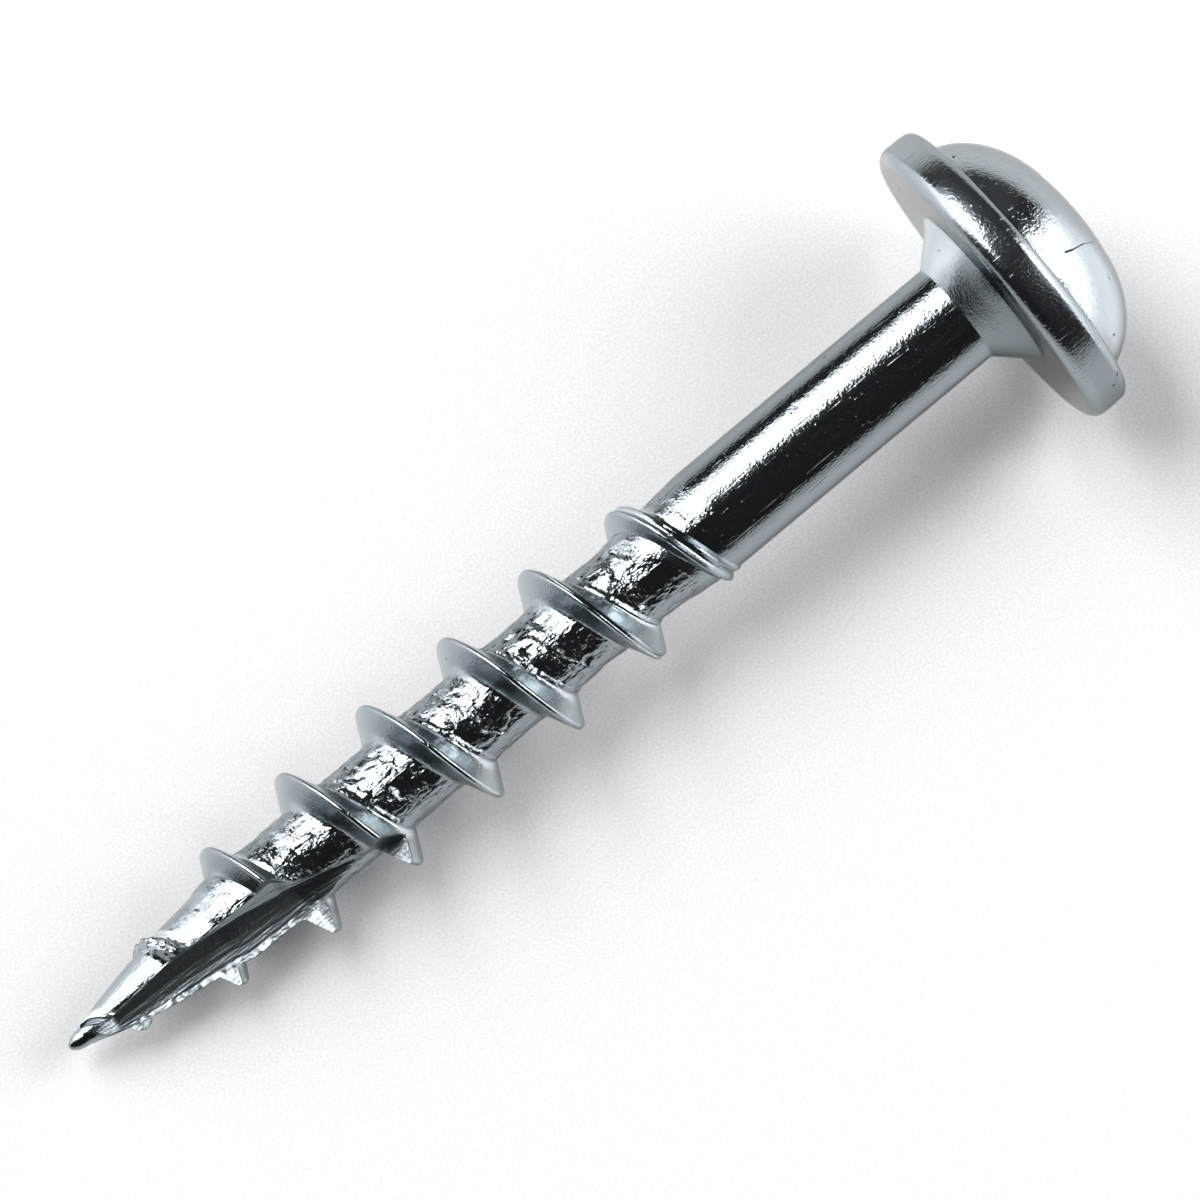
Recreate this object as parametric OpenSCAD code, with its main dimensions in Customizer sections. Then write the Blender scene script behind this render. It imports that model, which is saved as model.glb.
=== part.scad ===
// Pocket hole screw: a washer head on a plain shank, with a coarse thread and an auger point.
// It is drawn upright first, point at the origin and axis along +Z, and then laid down at the end:
// the rim of the washer and one crest of the thread touch the ground, as the screw comes to rest.
// Directions around the axis: +X is the side that the auger flute opens to, +Y is 90 degrees on.

/* [Length] */
// From the seat under the washer to the point
seat_to_point = 31.75; // [25:0.25:50]
// Plain shank between the thread and the neck
shank_length = 8.5; // [4:0.1:12]
// Diameter of the plain shank
shank_d = 2.98; // [2.7:0.02:3.4]

/* [Washer head] */
// Diameter of the washer
washer_d = 9.18; // [8:0.1:11]
// Thickness of the washer, from its seat to its lip
washer_t = 1.28; // [1:0.02:1.6]
// Rounding under the rim
rim_round_under = 0.4; // [0.2:0.02:0.44]
// Rounding over the rim
rim_round_over = 0.3; // [0.2:0.02:0.48]
// Diameter of the dome where it leaves the washer
dome_d = 7.64; // [6:0.02:8]
// Height of the dome above its crease with the washer
dome_h = 2.04; // [1.6:0.02:2.6]
// How far the crease lies below the lip of the washer
crease_depth = 0.1; // [0.04:0.02:0.2]

/* [Neck] */
// Length of the flared neck under the washer
neck_length = 0.98; // [0.6:0.02:1.4]
// Diameter of the neck where it meets the seat
neck_d = 5.02; // [4.4:0.02:5.6]

/* [Drive recess] */
// Width across the flats of the square recess
drive_flats = 2.82; // [2.3:0.02:3]
// Depth of the flats below the top of the dome
drive_depth = 2.2; // [1.6:0.05:2.4]
// Slope of the pointed bottom of the recess
drive_point_angle = 30; // [20:5:45]

/* [Thread] */
// Outside diameter of the thread
thread_d = 4.26; // [3.9:0.02:4.5]
// Diameter of the core between the turns
core_d = 2.51; // [2.3:0.01:2.6]
// From one turn to the next, which makes 9 turns in an inch
pitch = 2.822; // [2.5:0.001:3.2]
// Angle between the two flanks
flank_angle = 46; // [38:1:54]
// Width of the crest
crest_width = 0.12; // [0.08:0.01:0.2]
// Fillet where a flank meets the core
root_fillet = 0.15; // [0.06:0.01:0.2]
// Height of the first crest at the side that the flute opens to
thread_start = 1.16; // [0.9:0.02:1.6]
// Where the thread reaches its full diameter
thread_full = 7.8; // [6:0.1:10]
// Length over which the thread dies away at the shank
thread_fade = 5.4; // [3:0.1:6]
// How far its crest spreads toward the head as it dies away
crest_spread = 0.36; // [0.1:0.02:0.5]
// Depth of the groove that splits the spread crest into two ridges
crest_split = 0.08; // [0.02:0.01:0.12]

/* [Point] */
// Length of the tapered point
point_length = 6.2; // [5:0.1:8]
// Length of the rounded nib
nib_length = 0.6; // [0.3:0.02:0.8]
// Diameter of the nib
nib_d = 0.68; // [0.5:0.02:1]

/* [Auger flute] */
// Where the floor of the flute starts, from the point
flute_start = 1.4; // [1:0.05:2]
// Length of its ramp for each unit of depth
flute_ramp = 2.1; // [0.5:0.1:2.5]
// Distance of its floor from the axis
flute_floor = 0.1; // [-0.3:0.02:0.3]
// Distance of its wall from the axis
flute_wall = 0.1; // [-0.1:0.02:0.3]
// Where its wall turns away from the axis
flute_turn = 6.6; // [5:0.1:8]
// Angle at which its wall runs out
flute_exit = 18.5; // [12:0.5:25]
// Lean of its two faces about the axis
flute_lean = 11; // [0:1:20]

/* [At rest] */
// How far the screw has rolled about its axis, from the flute facing straight up
rest_roll = 11.4; // [-30:0.2:30]

/* [Hidden] */

shank_r = shank_d / 2;
core_r = core_d / 2;
thread_r = thread_d / 2;
washer_r = washer_d / 2;
dome_r = dome_d / 2;
neck_r = neck_d / 2;
nib_r = nib_d / 2;
shank_end = seat_to_point - neck_length;
shank_start = shank_end - shank_length;
// The core swells to the shank over this length
core_swell = 2.9;
// How far the thread's foot reaches into the core
sink = 0.03;
// The lowest that the crest stands over the core, and the most of it that the fillet and
// the split take
least_rise = 0.05;
fillet_share = 0.3;
split_share = 0.5;
dome_base = seat_to_point + washer_t - crease_depth;
head_top = dome_base + dome_h;
// Powers that give the dome its flattened crown
dome_power = 1.75;
dome_side_power = 2.6;
dome_steps = 16;
// Power that gives the point its bullet shape
point_power = 1.35;
point_steps = 14;
nib_steps = 4;
swell_steps = 6;
// Step of the rounded rim
arc_step = 15;
// Steps of the thread in one turn
turn_steps = 36;
full_turn = 360;
// The thread ends past the start of the shank, and dives into it over its last stretch
thread_end = shank_start + 0.25;
dive_length = 0.3;
// The thread starts this many steps on from that side, inside the flute
first_step = 3;
// Share of the thread's diameter that its start lacks, and the power of its growth
start_loss = 0.85;
start_power = 1.3;
// The crest gets lower by this power as the thread dies away
fade_power = 1.6;
// The second ridge ends lower than the first by this much, and dies away by this power
second_loss = 0.16;
second_power = 3;

// Radius of the point and the core at a height above the tip
function blank_radius(z) =
    z < nib_length ? nib_r * sqrt(1 - pow(1 - z / nib_length, 2)) :
    z < point_length ? core_r - (core_r - nib_r)
        * pow((point_length - z) / (point_length - nib_length), point_power) :
    z < shank_start - core_swell ? core_r :
    z < shank_start ? core_r + (shank_r - core_r) * swell((z - shank_start) / core_swell + 1) :
    shank_r;

// A smooth step from 0 to 1
function swell(t) = t * t * (3 - 2 * t);

// How far the thread has grown from the point, and how far it has faded at the shank
function thread_lack(z) = max(0, (thread_full - z) / thread_full);
function thread_faded(z) = max(0, (z - thread_end + thread_fade) / thread_fade);

// How far the thread has dived under the surface of the shank
function thread_dive(z) =
    (least_rise + sink) * max(0, (z - thread_end) / dive_length + 1);

// Radius of the crest at a height above the tip
function crest_radius(z) =
    min(
        thread_r * (1 - start_loss * pow(thread_lack(z), start_power)),
        thread_r - (thread_r - shank_r + sink) * pow(thread_faded(z), fade_power)
    );

// The section of the thread at a height, as pairs of a place along the axis and a radius
function thread_section(z) =
    let (
        foot = blank_radius(z),
        rise = max(crest_radius(z) - foot, least_rise),
        crest = foot + rise - thread_dive(z),
        half = crest_width / 2,
        spread = half + crest_spread * thread_faded(z),
        split = min(crest_split * thread_faded(z), rise * split_share),
        second = crest - min(second_loss * pow(thread_faded(z), second_power), rise * split_share),
        fillet = min(root_fillet, rise * fillet_share),
        flank = (rise - fillet) * tan(flank_angle / 2),
        low = -half - flank - fillet,
        high = spread + flank + fillet,
        low_foot = blank_radius(z + low) - thread_dive(z),
        high_foot = blank_radius(z + high) - thread_dive(z)
    )
    [
        [low - sink, low_foot - sink],
        [-half - flank, low_foot + fillet],
        [-half, crest],
        [(spread - half) / 2, crest - split],
        [spread, second],
        [spread + flank, high_foot + fillet],
        [high + sink, high_foot - sink]
    ];

// One tube of the section, swept along the helix
module thread() {
    steps = ceil((thread_end - thread_start) / pitch * turn_steps) - first_step;
    count = 7;
    points = [
        for (i = [0:steps])
        let (
            turn = (i + first_step) / turn_steps,
            angle = full_turn * turn,
            z = thread_start + pitch * turn
        )
        for (p = thread_section(z)) [p[1] * cos(angle), p[1] * sin(angle), z + p[0]]
    ];
    sides = [
        for (i = [0:steps - 1])
        for (j = [0:count - 1])
        let (
            a = i * count + j,
            b = i * count + (j + 1) % count
        )
        for (f = [[a, b, b + count], [a, b + count, a + count]]) f
    ];
    first = [for (j = [count - 1:-1:0]) j];
    last = [for (j = [0:count - 1]) steps * count + j];
    polyhedron(points = points, faces = concat(sides, [first, last]), convexity = 10);
}

// Point, core, shank, neck and head, turned as one
module blank() {
    nib = [for (i = [1:nib_steps]) nib_length * i / nib_steps];
    taper = [for (i = [1:point_steps]) nib_length + (point_length - nib_length) * i / point_steps];
    swelling = [for (i = [0:swell_steps]) shank_start + core_swell * (i / swell_steps - 1)];
    under = rim_round_under;
    over = rim_round_over;
    outline = concat(
        [[0, 0]],
        [for (z = concat(nib, taper, swelling)) [blank_radius(z), z]],
        [[shank_r, shank_end]],
        [[neck_r, seat_to_point]],
        [for (a = [0:arc_step:90]) [
            washer_r - under + under * sin(a),
            seat_to_point + under - under * cos(a)
        ]],
        [for (a = [0:arc_step:90]) [
            washer_r - over + over * cos(a),
            seat_to_point + washer_t - over + over * sin(a)
        ]],
        [for (i = [0:dome_steps]) dome_point(i / dome_steps)]
    );
    rotate_extrude($fn = 96) polygon(outline);
}

// A point of the dome's outline, from the crease at 0 to the crown at 1
function dome_point(t) =
    let (r = dome_r * cos(90 * t))
    [r, dome_base + dome_h * pow(1 - pow(r / dome_r, dome_side_power), 1 / dome_power)];

// The square recess, with a pointed bottom
module drive_recess() {
    flats_end = head_top - drive_depth;
    half = drive_flats / 2;
    point = half * tan(drive_point_angle);
    translate([-half, -half, flats_end])
        cube([drive_flats, drive_flats, drive_depth + drive_flats]);
    translate([0, 0, flats_end - point])
        cylinder(h = point, r1 = 0, r2 = half, $fn = 48);
}

// What the cutter takes out of the point: a notch with two faces that runs out at one side
module flute() {
    reach = thread_d;
    flute_end = flute_turn + (reach - flute_wall) / tan(flute_exit);
    rotate([0, 0, -flute_lean])
    intersection() {
        translate([reach, 0, 0])
        rotate([0, -90, 0])
        linear_extrude(height = 2 * reach)
        polygon([
            [0, flute_wall],
            [flute_turn, flute_wall],
            [flute_end, reach],
            [0, reach]
        ]);
        translate([0, 2 * reach, 0])
        rotate([90, 0, 0])
        linear_extrude(height = 2 * reach)
        polygon([
            [flute_floor, flute_start],
            [flute_floor, flute_end],
            [reach, flute_end],
            [reach, flute_start - (reach - flute_floor) * flute_ramp]
        ]);
    }
}

module screw_upright() {
    difference() {
        union() {
            blank();
            thread();
        }
        flute();
        drive_recess();
    }
}

// The rounded rim and one crest on the underside carry the screw. For each crest this gives
// the lean at which it and the rim touch the ground together, and the least one is the rest
rim_z = seat_to_point + rim_round_under;
underside = 180 - rest_roll;
first_crest = thread_start + pitch * underside / full_turn;
function lean_at(z) =
    let (
        along = rim_z - z,
        drop = washer_r - rim_round_under - crest_radius(z)
    )
    atan2(drop, along) + asin(rim_round_under / norm([along, drop]));
lean = min([for (z = [first_crest:pitch:thread_end]) lean_at(z)]);
rim_height = (washer_r - rim_round_under) * cos(lean) + rim_round_under;
// The ends of the lying screw, for its middle
nib_reach = norm([nib_length * cos(lean), nib_r * sin(lean)]);
low_end = nib_length * cos(lean) - nib_reach;
dome_ends = [for (i = [0:dome_steps]) dome_point(i / dome_steps) * [sin(lean), cos(lean)]];
middle = (low_end + max(dome_ends)) / 2;

// Lays the screw down along +X, with its lowest points on the ground and its middle at the origin
module laid_down() {
    translate([-middle, 0, rim_height - rim_z * sin(lean)])
    rotate([0, 90 - lean, 0])
    rotate([0, 0, 180 + rest_roll])
        children();
}

module screw() {
    color("lightsteelblue") laid_down() screw_upright();
}

screw();
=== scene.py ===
# Pocket hole screw, lying on a pale floor between panels of soft light
import math
from collections import namedtuple

import bpy
import numpy as np
from mathutils import Matrix, Vector, noise


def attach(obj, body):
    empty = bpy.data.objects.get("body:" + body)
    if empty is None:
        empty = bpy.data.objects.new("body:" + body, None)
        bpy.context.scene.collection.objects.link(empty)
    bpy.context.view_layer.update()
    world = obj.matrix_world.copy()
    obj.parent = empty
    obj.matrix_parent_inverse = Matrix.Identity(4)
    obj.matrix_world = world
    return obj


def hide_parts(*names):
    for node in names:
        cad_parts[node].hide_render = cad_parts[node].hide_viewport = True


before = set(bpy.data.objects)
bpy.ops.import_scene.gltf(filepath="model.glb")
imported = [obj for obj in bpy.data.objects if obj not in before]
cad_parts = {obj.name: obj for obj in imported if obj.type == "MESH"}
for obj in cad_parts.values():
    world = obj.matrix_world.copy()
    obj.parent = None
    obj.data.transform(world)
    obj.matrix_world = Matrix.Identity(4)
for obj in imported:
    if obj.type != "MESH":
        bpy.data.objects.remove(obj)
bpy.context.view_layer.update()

# The screw is modelled upright in millimetres, point at the origin and axis along +Z.
# +X is the side that the flute opens to, and +Y is 90 degrees on.
MM = 0.001
STEPS = 144
FULL = 2 * math.pi
SAME_POINT = 0.0005
SEAM = 0.002

# Sizes of the head
SEAT = 31.75
NECK_LENGTH = 0.98
NECK_R = 2.51
WASHER_R = 4.59
WASHER_T = 1.28
RIM_UNDER = 0.4
RIM_OVER = 0.3
RIM_FALL = 0.05
RIM_FALL_FROM = 0.55
RIM_UNEVEN = 0.09
DOME_R = 3.82
DOME_H = 2.04
DOME_STEPS = 52
DOME_SHY = 0.012
DOME_SHOULDER = 2.75
DOME_CROWN = 1.6
CREASE = 0.1
FLATS = 2.82
FLATS_DEPTH = 2.2
RECESS_CORNER = 0.18
RECESS_SLOPE = math.radians(30)

# Sizes of the shank and the thread
SHANK_LENGTH = 8.5
SHANK_R = 1.49
SHANK_STEPS = 64
THREAD_R = 2.13
CORE_R = 1.255
CORE_FROM = 10
CORE_SWELL = 2.9
PITCH = 2.822
TURNS = 10
FLANK = math.radians(23)
FLANK_STEPS = 7
CREST = 0.06
CREST_DROP = 0.02
FILLET = 0.15
FILLET_STEPS = 3
CORE_STEPS = 14
THREAD_START = 1.16
THREAD_FULL = 7.8
THREAD_FADE = 5.4
THREAD_SUNK = 0.03
THREAD_OVERRUN = 0.25
FIRST_LACK = 0.85
GROWTH_CURVE = 1.3
FADE_CURVE = 1.6
CREST_SPREAD = 0.36
CREST_SPLIT = 0.08

# Sizes of the flute
FLUTE_START = 1.4
FLUTE_RAMP = 2.1
FLUTE_FLOOR = 0.1
FLUTE_WALL = 0.1
FLUTE_TURN = 6.6
FLUTE_EXIT = math.radians(18.5)
FLUTE_REACH = 3.4
FLUTE_BACK = 6.0

# The flute's cutter: where its rows lie close, and how uneven it is
FINE_FROM = 0.2
FINE_TO = 11.5
FINE_GAP = 0.075
FLOOR_MARKS = 0.010
WALL_MARKS = 0.016
LIP_TEAR = 0.04

# How the screw lies
LEAN = math.radians(5.85156)
ROLL = math.radians(11.4)
MIDDLE = 17.4261
POINT_HEIGHT = 1.29043

SHANK_END = SEAT - NECK_LENGTH
SHANK_START = SHANK_END - SHANK_LENGTH
THREAD_END = SHANK_START + THREAD_OVERRUN
RIM_TOP = SEAT + WASHER_T
DOME_BASE = RIM_TOP - CREASE
HEAD_TOP = DOME_BASE + DOME_H

# The threaded stretch, between the nib and the plain shank
LOW = 0.5
HIGH = 22.9

# How uneven the thread and the core are
CREST_WAVE = 0.018
CRUSHED_DROP = 0.22
TORN_COARSE = 0.08
TORN_FINE = 0.045
NIB_RIDGE = 0.05
NIB_GROOVE = 0.10
CORE_HOLLOW = 0.045
CORE_LIFT = 0.022
FOOT_SOFT = 0.03
FOLD_UP = 0.035
FOLD_DOWN = 0.02
CORE_DENTS = 0.022
CORE_CREASES = 0.024
CORE_JAGGED = 0.012
CORE_FINE = 0.008
CORE_TORN = 0.12

# How high the first turn is crushed, and how far the tip is bent aside
CRUSHED_AT = 3.5
TIP_BEND = 0.105


# Hand tools

def deselect():
    if bpy.context.object and bpy.context.object.mode != "OBJECT":
        bpy.ops.object.mode_set(mode="OBJECT")
    bpy.ops.object.select_all(action="DESELECT")


def take(obj):
    deselect()
    obj.select_set(True)
    bpy.context.view_layer.objects.active = obj
    return obj


def edit(obj, kind="VERT", select=True):
    take(obj)
    bpy.ops.object.mode_set(mode="EDIT")
    bpy.ops.mesh.select_mode(type=kind)
    bpy.ops.mesh.select_all(action="SELECT" if select else "DESELECT")


def done():
    bpy.ops.object.mode_set(mode="OBJECT")


def face_out(obj):
    edit(obj)
    bpy.ops.mesh.normals_make_consistent(inside=False)
    done()


def weld(obj, distance):
    edit(obj)
    bpy.ops.mesh.remove_doubles(threshold=distance)
    done()


def settle(obj):
    take(obj)
    bpy.ops.object.transform_apply(location=True, rotation=True, scale=True)
    return obj


def drawn_line(name, points):
    """A line from point to point, as (radius, height) in the XZ plane.

    It starts as a small plane that is merged to one point."""
    deselect()
    first = Vector((points[0][0], 0, points[0][1]))
    bpy.ops.mesh.primitive_plane_add(size=0.01, location=first)
    obj = bpy.context.object
    obj.name = name
    settle(obj)
    edit(obj)
    bpy.ops.mesh.merge(type="CENTER")
    here = first
    for r, z in points[1:]:
        there = Vector((r, 0, z))
        bpy.ops.mesh.extrude_region_move(TRANSFORM_OT_translate={"value": there - here})
        here = there
    done()
    return obj


def turned(name, points):
    """A line turned about the axis."""
    obj = drawn_line(name, points)
    edit(obj)
    bpy.ops.mesh.spin(steps=STEPS, angle=FULL, center=(0, 0, 0), axis=(0, 0, 1))
    bpy.ops.mesh.select_all(action="SELECT")
    bpy.ops.mesh.remove_doubles(threshold=SAME_POINT)
    done()
    return obj


def apply_modifier(obj, kind, **settings):
    take(obj)
    mod = obj.modifiers.new(kind.lower(), kind)
    for key, value in settings.items():
        setattr(mod, key, value)
    bpy.ops.object.modifier_apply(modifier=mod.name)


def joined(name, objects):
    take(objects[0])
    for obj in objects[1:]:
        obj.select_set(True)
    bpy.ops.object.join()
    bpy.context.object.name = name
    return bpy.context.object


def points_of(obj):
    co = np.empty(len(obj.data.vertices) * 3, np.float32)
    obj.data.vertices.foreach_get("co", co)
    return co.reshape(-1, 3).astype(float)


def move_points(obj, co):
    obj.data.vertices.foreach_set("co", co.astype(np.float32).ravel())
    obj.data.update()


def store(obj, name, values):
    layer = obj.data.attributes.new(name, "FLOAT", "POINT")
    layer.data.foreach_set("value", np.asarray(values, np.float32))


def smooth_step(t):
    t = np.clip(t, 0, 1)
    return t * t * (3 - 2 * t)


def bump(t):
    """1 at 0, and 0 from -1 and +1 outwards."""
    return smooth_step(1 - np.abs(t))


def between(z, pairs):
    """The value at a height, from a list of heights and their values."""
    return np.interp(z, *np.array(pairs).T)


def noise_at(x, y, z):
    return noise.noise(Vector((x, y, z)))


def rough(co, scale, stretch=1.0, seed=0.0):
    """Smooth noise from -1 to 1, drawn out along the axis by the stretch."""
    return np.array([noise_at(x * scale + seed, y * scale, z * scale / stretch) for x, y, z in co])


# Blank and thread

# Outline of the point and the first of the core: height and radius
BLANK = [
    (0.5, 0.262), (0.6, 0.296), (0.8, 0.345), (1.17, 0.47), (1.6, 0.575), (2.14, 0.7),
    (2.6, 0.79), (3.2, 0.895), (3.74, 0.975), (4.27, 1.035), (4.8, 1.092), (5.0, 1.122),
    (5.2, 1.19), (5.45, 1.24), (5.8, 1.255),
]

# How strong the wrinkles are at each height
WRINKLED = [
    (0.9, 0), (2.5, 0.1), (5, 0.35), (7, 0.7), (9, 0.9), (12, 1), (20.4, 1), (21.4, 0.6), (22.3, 0),
]


def blank_radius(z):
    """Radius of the point, the core and its swell before the shank."""
    z = np.asarray(z, float)
    t = (z - SHANK_START) / CORE_SWELL + 1
    swell = 0.5 * smooth_step(t) + 0.5 * np.clip(t, 0, 1)
    return np.where(z > CORE_FROM, CORE_R + (SHANK_R - CORE_R) * swell, between(z, BLANK))


def faded(z):
    """0 where the last turns begin to die away, and 1 where the thread ends."""
    return np.clip((z - THREAD_END + THREAD_FADE) / THREAD_FADE, 0, None)


def crest_radius(z):
    """The crest grows over the point and dies away into the shank."""
    lack = np.clip((THREAD_FULL - z) / THREAD_FULL, 0, None)
    grown = THREAD_R * (1 - FIRST_LACK * lack ** GROWTH_CURVE)
    gone = THREAD_R - (THREAD_R - SHANK_R + THREAD_SUNK) * faded(z) ** FADE_CURVE
    return np.minimum(grown, gone)


def beside_crest(angle, z):
    """How far a point lies from the nearest crest, along the axis, toward the head."""
    phase = (z - THREAD_START - PITCH * angle / FULL) / PITCH
    return (phase - np.round(phase)) * PITCH


def thread_profile():
    """One turn's section from root to root: crest, flanks, fillets and a fine grid on the core."""
    core_end = PITCH / 2
    flank_end = CREST + (THREAD_R - CORE_R - FILLET) * math.tan(FLANK)
    foot = flank_end + FILLET
    crest_edge = THREAD_R - CREST_DROP
    flank_fall = THREAD_R - CORE_R - FILLET - CREST_DROP
    half = [(0.0, THREAD_R), (CREST / 2, THREAD_R - 0.003), (CREST, crest_edge)]
    for i in range(1, FLANK_STEPS + 1):
        t = i / FLANK_STEPS
        half.append((CREST + (flank_end - CREST) * t, crest_edge - flank_fall * t))
    for i in range(1, FILLET_STEPS + 1):
        a = math.radians(90 / FILLET_STEPS * i)
        half.append((flank_end + FILLET * math.sin(a) * 0.9, CORE_R + FILLET * (1 - math.sin(a))))
    half[-1] = (foot, CORE_R)
    for i in range(1, CORE_STEPS + 1):
        half.append((foot + (core_end - foot) * i / CORE_STEPS, CORE_R))
    left = [(r, -z) for z, r in reversed(half[1:])]
    return left + [(r, z) for z, r in half]


def beside_spread(dz, crest_z):
    """How far a point lies from the crest, which spreads toward the head and is crushed at first."""
    side = np.where(dz > 0, np.clip(dz - CREST_SPREAD * faded(crest_z), 0, None), dz)
    crushed = bump((crest_z - CRUSHED_AT) / 1.2)
    side = (side + 0.10 * crushed) * (1 - 0.62 * crushed)
    return side - 0.16 * smooth_step((1.9 - crest_z) / 0.6)


def crest_surface(angle, r, z, dz, side):
    """The thread as a radius: flanks, the split where it dies away, and the torn first turns."""
    crest_z = z - dz
    fade = faded(crest_z)
    spread = CREST_SPREAD * fade
    across = np.clip(dz / np.maximum(spread, 1e-6), 0, 1)
    flank = between(np.abs(side), [(z, r) for r, z in thread_profile() if z >= 0])
    split = np.minimum(CREST_SPLIT * 1.4 * fade, 0.1) * np.sin(math.pi * across)
    second = 0.16 * fade ** 3 * across
    height = flank - (THREAD_R - crest_radius(crest_z))
    height = height - np.where((dz > 0) & (dz < spread), split, 0) - np.where(dz > 0, second, 0)

    # The crest is never quite even, and the first turns are low and torn
    wave = np.array([noise_at(t * 1.1, 3.7, 0.0) for t in crest_z])
    height += CREST_WAVE * wave * smooth_step((crest_z - 3) / 2)
    height -= CRUSHED_DROP * bump((crest_z - 3.4) / 1.1)
    first = np.flatnonzero((z > 1.4) & (z < 6.6) & (np.abs(dz) < 0.8))
    place = np.stack([r * np.cos(angle), r * np.sin(angle), z], 1)[first]
    torn = TORN_COARSE * rough(place, 3.5, 1.0, 61.0) + TORN_FINE * rough(place, 8.0, 1.0, 67.0)
    height[first] += torn * smooth_step((5.8 - z[first]) / 2.5)
    return height


def threaded_radius(angle, r, z, dz, side):
    """Core and thread together, with the groove under the nib and the fold beside each turn."""
    height = crest_surface(angle, r, z, dz, side)

    # Under the nib the thread begins as a groove with a low ridge
    start = smooth_step((1.7 - (z - dz)) / 0.5)
    height = np.minimum(height, blank_radius(z) + NIB_RIDGE + 3 * (1 - start))
    groove = NIB_GROOVE * bump((side + 0.20) / 0.16) * start * smooth_step((z - LOW) / 0.15)

    # The core is a little hollow between the turns
    hollow = CORE_HOLLOW * np.clip((PITCH / 2 - np.abs(dz)) / 0.9, 0, 1) ** 2 - CORE_LIFT
    hollow *= smooth_step((z - 5.2) / 1.5) * (1 - smooth_step((z - 19.5) / 2))
    root = blank_radius(z) + hollow
    out = np.maximum(root, height)
    mix = np.clip((out - np.minimum(root, height)) / FOOT_SOFT, 0, 1)
    out += 0.25 * FOOT_SOFT * (1 - mix) ** 2 - groove

    # A fold runs beside the foot of the flank on the head side
    fold = bump((dz - 0.60) / 0.06) * FOLD_UP - bump((dz - 0.69) / 0.06) * FOLD_DOWN
    out += fold * smooth_step((z - 8) / 3) * (1 - smooth_step((z - 20.5) / 1))
    return out


def wrinkles(co):
    """Hammered wrinkles, most of them drawn out along the axis."""
    dents = rough(co, 2.6, 1.6, 5.0)
    creases = 1 - 2 * np.abs(rough(co, 4.8, 2.2, 11.0))
    jagged = 1 - 2 * np.abs(rough(co, 7.5, 1.8, 29.0))
    fine = rough(co, 10.0, 1.6, 23.0)
    torn = np.clip(rough(co, 3.4, 1.2, 37.0) - 0.27, 0, None)
    return (
        CORE_DENTS * dents - CORE_CREASES * np.clip(creases - 0.2, 0, None)
        - CORE_JAGGED * np.clip(jagged, 0, None) + CORE_FINE * fine - CORE_TORN * torn
    )


def threaded_sheet():
    """Core and thread in one sheet: a turn's section screwed up the axis, then shaped."""
    obj = drawn_line("threaded", thread_profile())
    apply_modifier(
        obj, "SCREW", axis="Z", angle=FULL, screw_offset=PITCH, iterations=TURNS,
        steps=STEPS, render_steps=STEPS, use_merge_vertices=True, merge_threshold=SAME_POINT,
        use_normal_calculate=False,
    )
    weld(obj, SAME_POINT)
    co = points_of(obj)
    co[:, 2] += THREAD_START - PITCH
    angle = np.arctan2(co[:, 1], co[:, 0])
    r = np.hypot(co[:, 0], co[:, 1])
    z = co[:, 2]
    dz = beside_crest(angle, z)
    side = beside_spread(dz, z - dz)
    out = threaded_radius(angle, r, z, dz, side)

    # The sheet is trimmed to its stretch by drawing in what lies past the ends
    on_core = smooth_step((np.abs(side) - 0.46) / 0.14)
    out = np.where(z <= LOW, blank_radius(LOW), out)
    out = np.where(z >= HIGH, SHANK_R, out)
    z = np.clip(z, LOW, HIGH)
    co = np.stack([out * np.cos(angle), out * np.sin(angle), z], 1)
    out += on_core * between(z, WRINKLED) * wrinkles(co)
    move_points(obj, np.stack([out * np.cos(angle), out * np.sin(angle), z], 1))
    weld(obj, SEAM)
    return obj


# Nib, shank and head

def nib_outline():
    """The rounded end of the point, as (radius, height)."""
    r_end = float(blank_radius(LOW))
    return [(0.0, 0.0)] + [
        (r_end * math.sin(math.radians(a)) ** 0.9, LOW * (1 - math.cos(math.radians(a))) ** 0.85)
        for a in range(12, 91, 6)
    ]


def washer_outline():
    """The flat underside, the rounded rim, which falls in a little toward its top, and its upper face."""
    flat_r = WASHER_R - RIM_UNDER
    under = [(NECK_R + (flat_r - NECK_R) * t, SEAT) for t in (0, 0.03, 0.25, 0.5, 0.75, 1)]
    quarter = [math.radians(a) for a in range(0, 91, 9)]
    low = [
        (flat_r + RIM_UNDER * math.sin(a), SEAT + RIM_UNDER * (1 - math.cos(a)))
        for a in quarter[1:]
    ]
    high = [
        (WASHER_R - RIM_OVER * (1 - math.cos(a)), RIM_TOP - RIM_OVER * (1 - math.sin(a)))
        for a in quarter
    ]
    side_low, side_high = low[-1][1], high[0][1]
    side = [(WASHER_R, side_low + (side_high - side_low) * i / 6) for i in range(1, 6)]
    fallen = []
    for r, z in side + high:
        barrel = max(0.0, (z - SEAT - RIM_FALL_FROM) / (WASHER_T - RIM_FALL_FROM))
        fallen.append((r - RIM_FALL * barrel ** 2, z))
    lip = [(WASHER_R - RIM_OVER - 0.2, RIM_TOP - 0.01), (DOME_R + 0.03, DOME_BASE + 0.03)]
    return under + low + fallen + lip


def dome_outline():
    """The domed top with its full shoulder, as (radius, height), a little short of its full height."""
    dome = []
    for i in range(DOME_STEPS + 1):
        r = DOME_R * math.cos(math.pi / 2 * (i / DOME_STEPS))
        rise = (1 - (r / DOME_R) ** DOME_SHOULDER) ** (1 / DOME_CROWN)
        dome.append((r, DOME_BASE + (DOME_H - DOME_SHY) * rise))
    dome[-1] = (0.0, dome[-1][1])
    return dome


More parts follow.
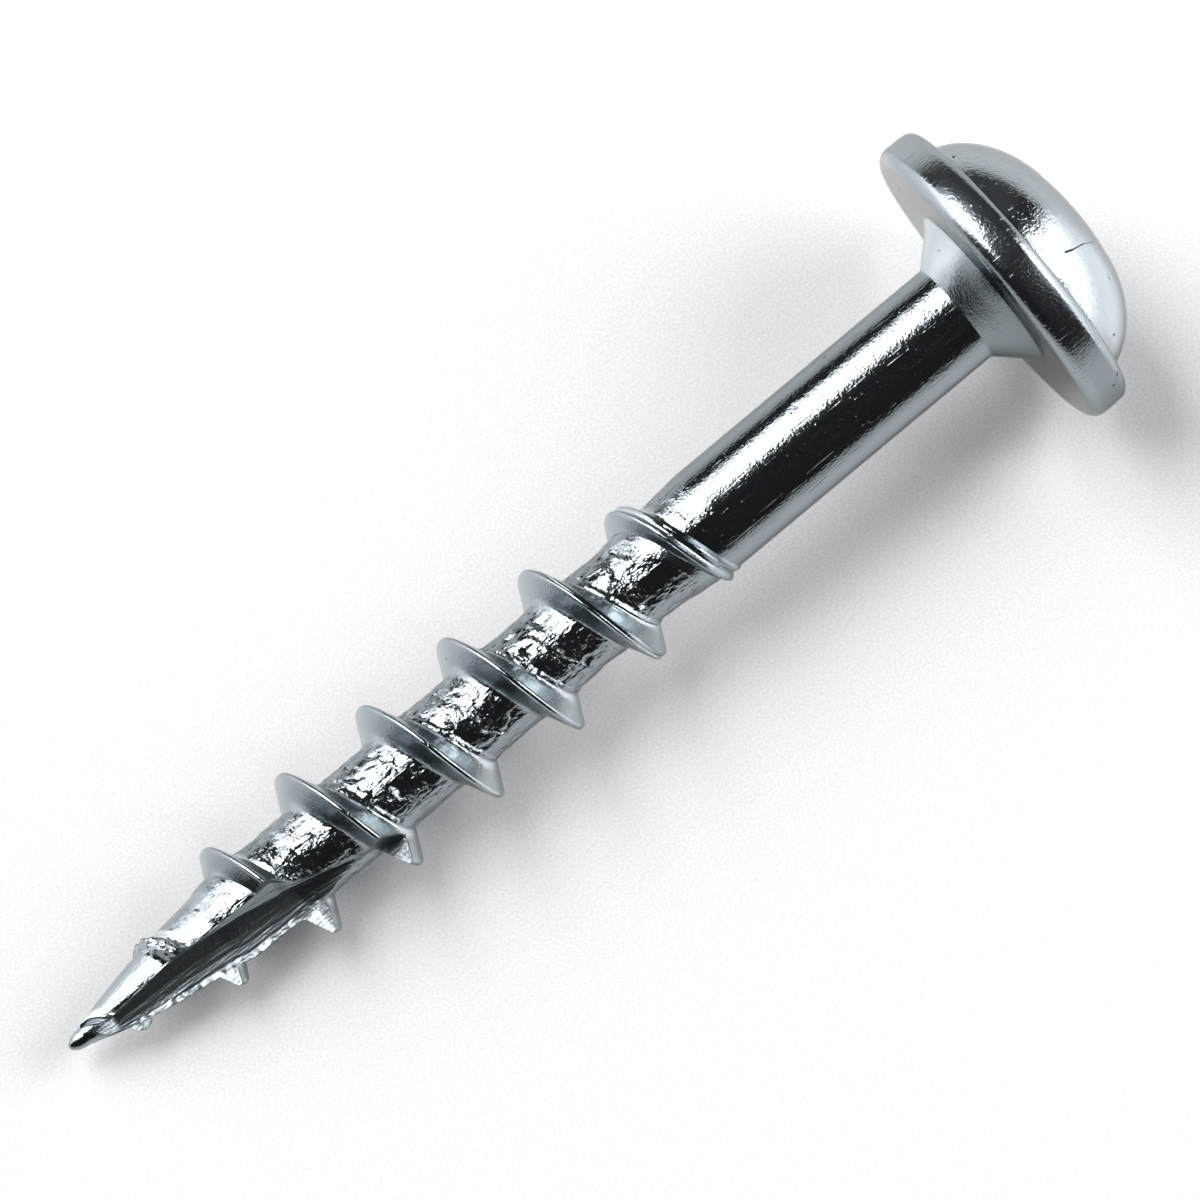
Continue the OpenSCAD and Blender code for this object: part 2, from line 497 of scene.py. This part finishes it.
def head_outline():
    """From the plain shank over neck and washer to the top of the dome, as (radius, height)."""
    shank = [(SHANK_R, HIGH + (SHANK_END - HIGH) * i / SHANK_STEPS) for i in range(SHANK_STEPS + 1)]
    neck = [
        (SHANK_R + (NECK_R - SHANK_R) * (0.88 * t + 0.12 * t ** 5), SHANK_END + NECK_LENGTH * t)
        for t in (0.02, 0.15, 0.3, 0.45, 0.6, 0.75, 0.9, 0.98)
    ]
    return shank + neck + washer_outline() + dome_outline()


def screw_blank():
    parts = [threaded_sheet(), turned("nib", nib_outline()), turned("head", head_outline())]
    obj = joined("plated_screw", parts)
    weld(obj, SEAM)
    face_out(obj)
    return obj


# Flute

# How far its edge lies to the side at each height, how wide the slope under the edge is,
# and that slope's angle
FLUTE_EDGE = [
    (1.0, 0.05), (1.39, 0.045), (2.75, -0.08), (3.36, -0.14), (4.19, -0.12), (5.18, -0.09),
    (6.27, -0.07), (6.85, -0.09), (7.0, 0.0), (7.3, 0.28), (7.8, 0.48), (8.5, 0.68),
    (9.6, 0.98), (10.4, 1.20), (12.0, 1.7), (17.0, 3.3),
]
FLUTE_SLOPE = [
    (1.0, 0.02), (2.8, 0.03), (3.5, 0.05), (4.2, 0.07), (4.9, 0.10), (5.7, 0.18), (6.3, 0.30),
    (6.85, 0.44), (7.0, 0.36), (7.3, 0.12), (7.8, 0.05), (12.0, 0.05),
]
SLOPE_DROP = math.tan(math.radians(55))

Notch = namedtuple("Notch", "core edge_x edge_y slope_x corner_x corner_y lip_x lip_y")


def flute_lines(z):
    """The notch's section at a height: its edge, its slope, its corner and its lip."""
    core = blank_radius(np.clip(z, LOW, 12))
    ramp = np.clip(FLUTE_START - z, 0, None) / FLUTE_RAMP
    edge_y = between(z, FLUTE_EDGE)
    edge_x = np.sqrt(np.clip(core ** 2 - np.clip(edge_y, 0, 0.8 * core) ** 2, 0.01, None))
    corner_y = edge_y + between(z, FLUTE_SLOPE)
    slope_x = edge_x - (corner_y - edge_y) * SLOPE_DROP
    corner_x = np.minimum(0.25 * core + np.clip(z - 7.3, 0, None) * 0.3, slope_x)
    lip_y = np.maximum(0.965 * core, corner_y + 0.05)
    lip_x = 0.22 * core + ramp
    return Notch(core, edge_x, edge_y, slope_x, corner_x + ramp, corner_y, lip_x, lip_y)


def flute_floor(y, z):
    """The floor's distance from the axis plane, hollow and turned up at the lip."""
    at = flute_lines(z)
    t = (y - at.corner_y) / (at.lip_y - at.corner_y)
    deep = 0.085 * at.core * smooth_step((8.6 - z) / 1.4)
    hollow = at.corner_x - deep * np.sin(math.pi / 2 * np.clip(t / 0.7, 0, 1))
    rise = np.maximum(at.lip_x - at.corner_x + deep, 0.03) * np.clip((t - 0.86) / 0.15, 0, 1)
    return hollow + rise + np.clip(y - at.lip_y, 0, None) * 0.30


def flute_wall(x, z):
    """The wall's place: steep outside the core, a slope under its edge, and steep again below."""
    at = flute_lines(z)
    outside = at.edge_y - (x - at.edge_x) * 0.15
    slope = at.edge_y + (at.edge_x - x) / SLOPE_DROP
    return np.where(x > at.edge_x, outside, np.minimum(slope, at.corner_y))


def flute_cutter():
    """A notch with a steep wall and a hollow floor, that runs out through its wall."""
    far = FLUTE_REACH
    wall_steps = np.concatenate([
        np.linspace(3, 2, 4)[:-1], np.linspace(2, 1, 16)[:-1], np.linspace(1, 0, 8),
    ])
    floor_steps = np.concatenate([
        np.linspace(0, 1, 30)[1:], 1 + np.linspace(0, 1, 12)[1:], [2.5, 3.0],
    ])
    z_end = FLUTE_TURN + (far - FLUTE_WALL) / math.tan(FLUTE_EXIT)
    z_start = FLUTE_START - (far - FLUTE_FLOOR) * FLUTE_RAMP
    rows = np.concatenate([
        np.linspace(z_start, FINE_FROM, 12)[:-1], np.arange(FINE_FROM, FINE_TO, FINE_GAP),
        np.linspace(FINE_TO, z_end, 12),
    ])
    columns = len(wall_steps) + len(floor_steps)
    bpy.ops.mesh.primitive_grid_add(x_subdivisions=columns - 1, y_subdivisions=len(rows) - 1, size=2)
    obj = bpy.context.object
    obj.name = "flute_cutter"
    co = points_of(obj)
    col = np.round((co[:, 0] + 1) / 2 * (columns - 1)).astype(int)
    row = np.round((co[:, 1] + 1) / 2 * (len(rows) - 1)).astype(int)
    z = rows[row]
    at = flute_lines(z)

    on_floor = col >= len(wall_steps)
    up = wall_steps[np.clip(col, 0, len(wall_steps) - 1)]
    x_wall = np.where(up > 2, at.edge_x + (far - at.edge_x) * (up - 2), np.where(
        up > 1, at.slope_x + (at.edge_x - at.slope_x) * (up - 1),
        at.corner_x + (at.slope_x - at.corner_x) * up))
    across = floor_steps[np.clip(col - len(wall_steps), 0, len(floor_steps) - 1)]
    y_inside = at.corner_y + (at.lip_y - at.corner_y) * across
    y_floor = np.where(across <= 1, y_inside, at.lip_y + (across - 1) * 1.0)
    y_floor = np.where(across > 2, at.lip_y + 1.0 + (across - 2) * (far - 1.0), y_floor)
    x = np.where(on_floor, flute_floor(y_floor, z), x_wall)
    y = np.where(on_floor, y_floor, flute_wall(x_wall, z) - 0.01 * np.clip(1 - up, 0, 1))

    # Lengthwise marks of the tool, and a ragged lip
    lines = np.array([
        noise_at(c * 0.5, 1.3, t * 0.16) + 0.7 * noise_at(c * 1.6, 8.1, t * 0.4)
        for c, t in zip(col, z)
    ])
    ragged = np.array([
        noise_at(t * 6.5, 4.0, c * 0.15) + 0.6 * noise_at(t * 13.0, 9.0, c * 0.3)
        for c, t in zip(col, z)
    ])
    near_lip = np.where(on_floor, bump((across - 0.98) / 0.22), 0)
    x = x + np.where(on_floor, FLOOR_MARKS * lines * (across <= 1) + LIP_TEAR * ragged * near_lip, 0)
    y = y + np.where(on_floor, 0, WALL_MARKS * lines)
    move_points(obj, np.stack([x, y, z], 1))
    return obj


def on_flute(x, y, z):
    """Where points lie on the walls that the flute left."""
    at = flute_lines(z)
    floor = (np.abs(x - flute_floor(y, z)) < 0.08) & (y > at.corner_y - 0.03)
    wall = (np.abs(y - flute_wall(x, z)) < 0.035) & (x > at.corner_x - 0.03)
    return ((floor | wall) & (z > FINE_FROM) & (z < 11)).astype(float)


def closed_cutter(obj):
    """Closes the notch's skin into a solid, far outside the screw."""
    edit(obj, select=False)
    bpy.ops.mesh.select_non_manifold()
    away = (FLUTE_BACK, FLUTE_BACK, 0)
    bpy.ops.mesh.extrude_region_move(TRANSFORM_OT_translate={"value": away})
    bpy.ops.mesh.merge(type="CENTER")
    face_out(obj)
    return obj


def cut(obj, tool):
    apply_modifier(obj, "BOOLEAN", operation="DIFFERENCE", solver="MANIFOLD", object=tool)
    bpy.data.objects.remove(tool)


# Drive recess

def recess_cutter():
    """A square punch with eased corners and a pointed end, that stands above the dome."""
    deep = FLATS_DEPTH + 1
    deselect()
    bpy.ops.mesh.primitive_cube_add(size=1, location=(0, 0, HEAD_TOP - FLATS_DEPTH + deep / 2))
    obj = bpy.context.object
    obj.name = "square_punch"
    obj.scale = (FLATS, FLATS, deep)
    settle(obj)
    edit(obj, "EDGE", select=False)
    done()
    for edge in obj.data.edges:
        a, b = (obj.data.vertices[i].co for i in edge.vertices)
        edge.select = abs(a.z - b.z) > 0.1
    bpy.ops.object.mode_set(mode="EDIT")
    bpy.ops.mesh.bevel(offset=RECESS_CORNER, segments=4, affect="EDGES")
    bpy.ops.mesh.select_mode(type="FACE")
    bpy.ops.mesh.select_all(action="DESELECT")
    done()
    low = min(v.co.z for v in obj.data.vertices)
    for face in obj.data.polygons:
        face.select = all(abs(obj.data.vertices[i].co.z - low) < 1e-4 for i in face.vertices)
    bpy.ops.object.mode_set(mode="EDIT")
    point = FLATS / 2 * math.tan(RECESS_SLOPE)
    bpy.ops.mesh.extrude_region_move(TRANSFORM_OT_translate={"value": (0, 0, -point)})
    bpy.ops.mesh.merge(type="CENTER")
    done()
    return obj


# Marks

# Small dents on the side that is up: from and to (z, y), width and depth
MARKS = [
    (25.75, -0.83, 25.83, -0.76, 0.16, 0.012), (25.80, 0.60, 25.86, 0.72, 0.12, 0.010),
    (25.36, 0.24, 25.40, 0.30, 0.09, 0.008), (24.2, -0.55, 24.5, -0.53, 0.07, 0.006),
    (27.6, -0.62, 28.1, -0.60, 0.06, 0.005), (29.3, 0.9, 29.7, 0.92, 0.08, 0.006),
    (33.71, 0.61, 34.28, 0.74, 0.06, 0.010), (34.28, 0.74, 34.60, 0.90, 0.05, 0.008),
    (34.28, 1.87, 34.32, 1.91, 0.10, 0.010), (33.45, 3.10, 33.50, 3.16, 0.12, 0.010),
    (33.42, 2.0, 33.52, 2.65, 0.10, 0.010), (33.72, 2.15, 33.76, 2.8, 0.09, 0.008),
    (33.20, -3.27, 33.25, -3.22, 0.10, 0.010), (33.86, -2.9, 33.92, -2.85, 0.12, 0.012),
    (33.18, -3.1, 33.33, -0.95, 0.05, 0.008), (16.50, -0.53, 16.58, -0.36, 0.13, 0.03),
    (19.62, -0.95, 19.84, -0.62, 0.17, 0.05), (11.0, 0.35, 11.3, 0.8, 0.10, 0.025),
    (10.75, 0.95, 10.95, 1.15, 0.09, 0.02), (13.9, 0.5, 14.3, 0.85, 0.10, 0.025),
    (16.6, 0.4, 16.85, 0.9, 0.10, 0.025), (19.2, 0.6, 19.45, 0.85, 0.09, 0.025),
    (32.9, 3.9, 33.0, 4.0, 0.14, 0.014), (33.9, -0.7, 34.05, -0.3, 0.10, 0.008),
]

# A nick in the dome and dark specks: from, to and how wide
NICKS = [
    ((3.443, 0.608, 33.708), (3.261, 0.68, 33.912), 0.020),
    ((3.261, 0.68, 33.912), (2.827, 0.743, 34.279), 0.014),
    ((2.827, 0.743, 34.279), (2.394, 0.848, 34.515), 0.009),
    ((2.394, 0.848, 34.515), (2.08, 0.92, 34.63), 0.006),
    ((-0.02, -3.531, 31.75), (0.27, -3.531, 31.75), 0.028),
    ((1.92, -3.24, 33.21), (1.86, -3.26, 33.24), 0.026),
    ((2.20, 1.87, 34.30), (2.17, 1.91, 34.30), 0.020),
    ((1.89, 3.12, 33.46), (1.84, 3.15, 33.48), 0.022),
    ((2.18, 3.96, 32.86), (2.18, 4.00, 32.81), 0.030),
    ((0.617, -1.35, 27.25), (0.617, -1.36, 27.29), 0.018),
    ((1.33, -1.57, 31.37), (1.32, -1.58, 31.38), 0.018),
    ((0.16, -1.64, 14.34), (0.16, -1.65, 14.35), 0.020),
    ((1.93, 4.15, 32.57), (1.90, 4.16, 32.60), 0.022),
]

# The raised edge round a dent, as shares of its depth and its width
RAISED_EDGE = 0.35
RAISED_WIDTH = 0.6


def marked(co):
    """Small dents on the upper side, each with a low raised edge."""
    y, z = co[:, 1], co[:, 2]
    normal = co * np.array([1.0, 1.0, 0.0])
    normal /= np.maximum(np.linalg.norm(normal, axis=1), 1e-6)[:, None]
    for z0, y0, z1, y1, width, depth in MARKS:
        dz, dy = z1 - z0, y1 - y0
        t = np.clip(((z - z0) * dz + (y - y0) * dy) / (dz * dz + dy * dy), 0, 1)
        away = np.hypot(z - z0 - t * dz, y - y0 - t * dy)
        dent = smooth_step(1 - away / width) - RAISED_EDGE * bump((away - width) / (RAISED_WIDTH * width))
        upper = co[:, 0] > 0.2
        co = co - normal * (depth * dent * upper)[:, None]
    return co


# The whole screw

def on_rim(r, z):
    return (r > DOME_R + 0.1) & (z > SEAT + RIM_UNDER)


def store_finish_and_painted_light(obj, co):
    """Stores where the finish differs and where shade and reflections are painted into the colour, from 0
    to 1 at each point.
    """
    x, y, z = co[:, 0], co[:, 1], co[:, 2]
    r = np.hypot(x, y)
    dz = beside_crest(np.arctan2(y, x), z)
    cut_face = on_flute(x, y, z)
    side = np.where(dz > 0, dz - CREST_SPREAD * faded(z - dz), -dz)
    shares = [(1.2, 0.05), (4, 0.3), (7, 1), (21.4, 1), (22.4, 0)]
    on_core = smooth_step((side - 0.40) / 0.14) * between(z, shares)
    crushed = 0.8 * bump((z - dz - CRUSHED_AT) / 0.9) * smooth_step((0.75 - np.abs(dz)) / 0.2)
    on_core = np.maximum(on_core, crushed)
    store(obj, "core", on_core * (1 - cut_face))
    store(obj, "cut", cut_face)

    on_neck = smooth_step((z - SHANK_END + 0.03) / 0.06) * (z < SEAT + 0.01) * (r < NECK_R + 0.02)
    underside = (np.abs(z - SEAT) < 0.02) * (r > NECK_R)
    entry = cut_face * (z < FLUTE_START + 0.02)
    # Darker and rougher on the cut faces, the flute's entry and a little on the underside. The lower side
    # of the neck and the lower part of the rim are darker as painted shade.
    low_neck = on_neck * (0.05 + 0.4 * smooth_step((y + 0.9) / 0.6))
    low_rim = 0.2 * on_rim(r, z) * smooth_step((y - 3.2) / 0.6)
    dull_and_shade = [low_neck, low_rim, 0.12 * underside, 0.6 * entry, 0.35 * cut_face]
    store(obj, "dull_and_shade", np.maximum.reduce(dull_and_shade))
    rim = smooth_step((z - SEAT) / 0.1) * smooth_step((DOME_BASE + 0.05 - z) / 0.05) * (r > DOME_R)
    store(obj, "rim", rim)

    flank = smooth_step((0.5 - np.abs(side)) / 0.1) * smooth_step((np.abs(side) - 0.04) / 0.05)
    flank *= smooth_step((21.6 - z) / 1.2) * (1 - cut_face)
    store(obj, "flank", flank)
    # Paler colour as a painted reflection: on the head side of the flanks, over the dome, and on the
    # upper side of the neck and of the rim.
    on_dome = smooth_step((z - DOME_BASE - 0.02) / 0.06) * (r < DOME_R + 0.02)
    high_neck = on_neck * smooth_step((-y - 0.8) / 0.5)
    high_rim = on_rim(r, z) * smooth_step((-y - 3.0) / 0.8)
    toward_head = np.where(dz > 0, 1.0, 0.1)
    painted_reflection = [flank * toward_head, 0.45 * on_dome, 0.7 * high_neck, 0.25 * high_rim]
    store(obj, "painted_reflection", np.maximum.reduce(painted_reflection))


def build_screw():
    obj = screw_blank()
    cut(obj, closed_cutter(flute_cutter()))
    cut(obj, recess_cutter())
    co = points_of(obj)
    r, z = np.hypot(co[:, 0], co[:, 1]), co[:, 2]
    store_finish_and_painted_light(obj, co)
    co = marked(co)

    # The forged rim falls more toward the head on one side
    up_rim = np.clip((z - SEAT - RIM_UNDER) / (WASHER_T - RIM_UNDER), 0, 1)
    fall = RIM_UNEVEN * up_rim ** 2 * on_rim(r, z)
    fall *= smooth_step((-co[:, 1] - 0.2) / 1.6) * smooth_step((4.45 + co[:, 1]) / 0.6)
    co[:, :2] *= (1 - fall / np.maximum(r, 1))[:, None]

    # The very tip is bent a little
    co[:, 1] -= TIP_BEND * np.clip(1 - co[:, 2] / 6.5, 0, 1) ** 2
    move_points(obj, co)
    return obj


def upright_to_laid():
    """From the upright screw to the lying one, in millimetres."""
    return (
        Matrix.Translation((-MIDDLE, 0, POINT_HEIGHT))
        @ Matrix.Rotation(math.pi / 2 - LEAN, 4, "Y")
        @ Matrix.Rotation(math.pi + ROLL, 4, "Z")
    )


def lay_down(obj):
    """Lays the screw on the floor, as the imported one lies, in metres."""
    obj.matrix_world = Matrix.Scale(MM, 4) @ upright_to_laid()
    return settle(obj)


# Zinc plate

# Plate colour, a paler colour for painted reflections, a darker one for duller faces and painted shade,
# and the specks' colour
BRIGHT = (0.335, 0.375, 0.40, 1)
PAINTED_REFLECTION = (0.64, 0.71, 0.74, 1)
DULL_AND_SHADE = (0.17, 0.20, 0.215, 1)
SPECK = (0.015, 0.015, 0.016, 1)
PLATE_ROUGHNESS = 0.12
SHARP_EDGE = math.radians(38)


def zinc_plate():
    """Bright plate: wrinkled on the core, streaked in the flute, faintly grained elsewhere, with painted
    shade and painted reflections in its colour.
    """
    mat = bpy.data.materials.new("zinc_plate")
    mat.use_nodes = True
    tree = mat.node_tree
    nodes, links = tree.nodes, tree.links
    shader = nodes["Principled BSDF"]
    shader.inputs["Metallic"].default_value = 1.0
    shader.inputs["Specular Tint"].default_value = (0.6, 0.6, 0.6, 1)

    # Millimetres, upright
    where = nodes.new("ShaderNodeTexCoord")
    turn = nodes.new("ShaderNodeMapping")
    back = upright_to_laid().inverted()
    turn.inputs["Scale"].default_value = (1 / MM, 1 / MM, 1 / MM)
    turn.inputs["Rotation"].default_value = back.to_euler("XYZ")
    turn.inputs["Location"].default_value = back.to_translation()
    links.new(where.outputs["Object"], turn.inputs["Vector"])

    def put(socket, value):
        if isinstance(value, bpy.types.NodeSocket):
            links.new(value, socket)
        else:
            socket.default_value = value

    def calc(operation, a, b=0.0):
        node = nodes.new("ShaderNodeMath")
        node.operation = operation
        put(node.inputs[0], a)
        put(node.inputs[1], b)
        return node.outputs[0]

    def times(a, b):
        return calc("MULTIPLY", a, b)

    def total(first, *others):
        for other in others:
            first = calc("ADD", first, other)
        return first

    def held(value, low, high):
        return calc("MINIMUM", calc("MAXIMUM", value, low), high)

    def past(value, level):
        """How far a value is past a level, and 0 below it."""
        return calc("MAXIMUM", calc("SUBTRACT", value, level), 0.0)

    def grain(around, along, detail=2.0):
        """Noise of about -1 to 1, with so many grains to the millimetre."""
        stretch = nodes.new("ShaderNodeVectorMath")
        stretch.operation = "MULTIPLY"
        links.new(turn.outputs[0], stretch.inputs[0])
        stretch.inputs[1].default_value = (around, around, along)
        tex = nodes.new("ShaderNodeTexNoise")
        tex.inputs["Scale"].default_value = 1.0
        tex.inputs["Detail"].default_value = detail
        links.new(stretch.outputs[0], tex.inputs["Vector"])
        return times(calc("SUBTRACT", tex.outputs[0], 0.5), 3.0)

    def ridges(around, along):
        return calc("ABSOLUTE", grain(around, along, 1.0))

    def stored(name):
        node = nodes.new("ShaderNodeAttribute")
        node.attribute_name = name
        return node.outputs["Fac"]

    def blend(factor, a, b):
        node = nodes.new("ShaderNodeMix")
        node.data_type = "RGBA"
        links.new(factor, node.inputs["Factor"])
        put(node.inputs[6], a)
        put(node.inputs[7], b)
        return node.outputs[2]

    def vector(operation, a, b, outlet="Vector"):
        node = nodes.new("ShaderNodeVectorMath")
        node.operation = operation
        put(node.inputs[0], a)
        put(node.inputs[3 if operation == "SCALE" else 1], b)
        return node.outputs[outlet]

    stored_masks = ("core", "cut", "dull_and_shade", "flank", "rim")
    core, cut_face, dull_and_shade, flank, rim = (stored(name) for name in stored_masks)

    # Heights in thousandths of a millimetre
    patches = held(total(times(grain(1.7, 1.2), 1.2), 0.65), 0.3, 1.3)
    wrinkled = total(times(ridges(5.0, 2.4), 20.0), times(ridges(10.0, 5.0), 12.0))
    wrinkled = total(wrinkled, times(grain(4.0, 15.0), 5.0))
    wrinkled = times(wrinkled, patches)
    streaked = total(times(grain(11.0, 0.3, 3.0), 7.0), times(ridges(8.0, 4.0), 2.0))
    pits = times(past(grain(12.0, 9.0, 1.0), 0.6), -9.0)
    dashes = times(past(grain(13.0, 0.8, 1.0), 0.42), -12.0)
    plain = total(times(grain(14.0, 11.0), 2.6), times(grain(4.5, 3.5), 1.6), total(pits, dashes))
    pitted = times(grain(8.0, 8.0, 3.0), 5.0)
    uneven = times(grain(9.0, 9.0, 3.0), 2.0)
    height = total(times(wrinkled, core), times(streaked, cut_face), times(pitted, dull_and_shade))
    height = total(height, times(uneven, flank), plain)
    relief = nodes.new("ShaderNodeBump")
    relief.inputs["Strength"].default_value = 1.0
    relief.inputs["Distance"].default_value = 1e-6
    links.new(height, relief.inputs["Height"])
    links.new(relief.outputs[0], shader.inputs["Normal"])

    soft = total(times(dull_and_shade, 0.20), times(flank, 0.10), times(cut_face, 0.12), times(rim, 0.06))
    links.new(total(soft, PLATE_ROUGHNESS), shader.inputs["Roughness"])

    # The nick and the specks: how near a point is to one of their lines
    nicked = 0.0
    for begin, end, width in NICKS:
        run = Vector(end) - Vector(begin)
        start = vector("SUBTRACT", turn.outputs[0], begin)
        share = held(vector("DOT_PRODUCT", start, run / run.length_squared, "Value"), 0.0, 1.0)
        foot = vector("SCALE", tuple(run), share)
        away = vector("DISTANCE", start, foot, "Value")
        near = calc("SUBTRACT", 2.0, calc("DIVIDE", away, width))
        nicked = calc("MAXIMUM", nicked, held(near, 0.0, 1.0))

    # Colour: paler where a reflection is painted, darker on the duller faces and where shade is painted,
    # and near black at the nick and the specks
    colour = blend(dull_and_shade, blend(stored("painted_reflection"), BRIGHT, PAINTED_REFLECTION), DULL_AND_SHADE)
    links.new(blend(nicked, colour, SPECK), shader.inputs["Base Color"])
    return mat


screw = lay_down(build_screw())
screw.data.materials.clear()
screw.data.materials.append(zinc_plate())
take(screw)
bpy.ops.object.shade_smooth_by_angle(angle=SHARP_EDGE)
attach(screw, "root")
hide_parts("screw")


# Floor: a pale card with a faint sheen, and plain white far away, outside the lights
FLOOR_SIZE = 8
FLOOR_GRAY = 0.85
FLOOR_SPECKLE = 0.07
FLOOR_ROUGHNESS = 0.22
FLOOR_SHEEN = 2.0
CARD_END = 0.13
WHITE_FROM = 0.3


def pale_floor():
    deselect()
    bpy.ops.mesh.primitive_plane_add(size=FLOOR_SIZE, location=(0, 0, 0))
    floor = bpy.context.object
    floor.name = "floor"
    mat = bpy.data.materials.new("pale_floor")
    mat.use_nodes = True
    tree = mat.node_tree
    nodes, links = tree.nodes, tree.links
    nodes.clear()
    out = nodes.new("ShaderNodeOutputMaterial")
    mix = nodes.new("ShaderNodeMixShader")
    card = nodes.new("ShaderNodeBsdfPrincipled")
    card.inputs["Roughness"].default_value = FLOOR_ROUGHNESS
    card.inputs["IOR"].default_value = FLOOR_SHEEN
    where = nodes.new("ShaderNodeTexCoord")
    speckle = nodes.new("ShaderNodeTexNoise")
    speckle.inputs["Scale"].default_value = 14000
    speckle.inputs["Detail"].default_value = 1.0
    tone = nodes.new("ShaderNodeMapRange")
    tone.inputs["From Min"].default_value = 0.3
    tone.inputs["From Max"].default_value = 0.7
    tone.inputs["To Min"].default_value = FLOOR_GRAY * (1 - FLOOR_SPECKLE)
    tone.inputs["To Max"].default_value = FLOOR_GRAY * (1 + FLOOR_SPECKLE)
    links.new(where.outputs["Object"], speckle.inputs["Vector"])
    links.new(speckle.outputs[0], tone.inputs["Value"])
    links.new(tone.outputs["Result"], card.inputs["Base Color"])
    white = nodes.new("ShaderNodeEmission")
    white.inputs["Color"].default_value = (1, 1, 1, 1)
    far = nodes.new("ShaderNodeVectorMath")
    far.operation = "LENGTH"
    ramp = nodes.new("ShaderNodeMapRange")
    ramp.interpolation_type = "SMOOTHSTEP"
    ramp.inputs["From Min"].default_value = CARD_END
    ramp.inputs["From Max"].default_value = WHITE_FROM
    links.new(where.outputs["Object"], far.inputs[0])
    links.new(far.outputs["Value"], ramp.inputs["Value"])
    links.new(ramp.outputs["Result"], mix.inputs["Fac"])
    links.new(card.outputs[0], mix.inputs[1])
    links.new(white.outputs[0], mix.inputs[2])
    links.new(mix.outputs[0], out.inputs["Surface"])
    floor.data.materials.append(mat)
    return floor


pale_floor()


# Lights: panels left and right of the photograph, each in strips, and a dim one at the back
TENT_TURN = math.radians(-39.635)
HALF_TENT = 0.25


def panel(name, centre, facing, width, height, radiance):
    """A rectangular light. The centre is in metres in the turned tent."""
    turn = Matrix.Rotation(TENT_TURN, 3, "Z")
    data = bpy.data.lights.new(name, "AREA")
    data.shape = "RECTANGLE"
    data.size = width
    data.size_y = height
    data.energy = radiance * width * height * math.pi
    light = bpy.data.objects.new(name, data)
    bpy.context.scene.collection.objects.link(light)
    light.location = turn @ Vector(centre)
    aim = (turn @ Vector(facing)).normalized()
    light.rotation_euler = aim.to_track_quat("-Z", "Y").to_euler()
    light.visible_camera = False
    return light


def side_panel(name, side, y_low, y_high, z_low, z_high, radiance, nearer=0.0):
    """A panel on the left (-1) or right (1) wall of the tent, its edges given in half tents."""
    y, z = HALF_TENT * (y_low + y_high) / 2, HALF_TENT * (z_low + z_high) / 2
    centre = (side * (HALF_TENT - nearer), y, z)
    width, height = HALF_TENT * (y_high - y_low), HALF_TENT * (z_high - z_low)
    panel(name, centre, (-side, 0, 0), width, height, radiance)


side_panel("left_foot", -1, -0.2, 1.0, 0.0, 0.25, 1.5)
side_panel("left_low", -1, -0.2, 1.0, 0.25, 0.95, 2.8)
side_panel("left_middle", -1, -0.2, 1.5, 0.95, 1.3, 3.0)
side_panel("left_high", -1, -0.2, 1.5, 1.3, 4.0, 8.6)
side_panel("right_low", 1, -0.35, 1.1, 0.0, 0.5, 2.1)
side_panel("right_high", 1, -0.55, 1.05, 0.5, 2.4, 0.5)
side_panel("right_key", 1, -0.1, 0.8, 0.5, 1.7, 4.9, nearer=0.002)
back_centre = (0, HALF_TENT * 1.7, HALF_TENT * 1.2)
panel("back", back_centre, (0, -1, 0), HALF_TENT * 1.8, HALF_TENT * 2.4, 0.05)


# Surroundings: a dim room
ROOM = 0.025
world = bpy.data.worlds.new("studio")
bpy.context.scene.world = world
world.use_nodes = True
sky = world.node_tree.nodes["Background"]
sky.inputs["Color"].default_value = (0.9, 0.95, 1.0, 1)
sky.inputs["Strength"].default_value = ROOM


# Camera of the photograph: its place in metres, and where its right and its top point
CAMERA_PLACE = (-0.0535037, -0.0652511, 0.3239957)
CAMERA_RIGHT = Vector((0.7701121, -0.6379083, 0.0006566))
CAMERA_UP = Vector((0.6164122, 0.7444251, 0.2566464))
LENS = 372.9

data = bpy.data.cameras.new("camera")
data.sensor_width = 36
data.lens = LENS
data.clip_start = 0.01
camera = bpy.data.objects.new("camera", data)
bpy.context.scene.collection.objects.link(camera)
view = Matrix((CAMERA_RIGHT, CAMERA_UP, CAMERA_RIGHT.cross(CAMERA_UP))).transposed().to_4x4()
camera.matrix_world = Matrix.Translation(CAMERA_PLACE) @ view
bpy.context.scene.camera = camera

bpy.context.scene.view_settings.view_transform = "Standard"
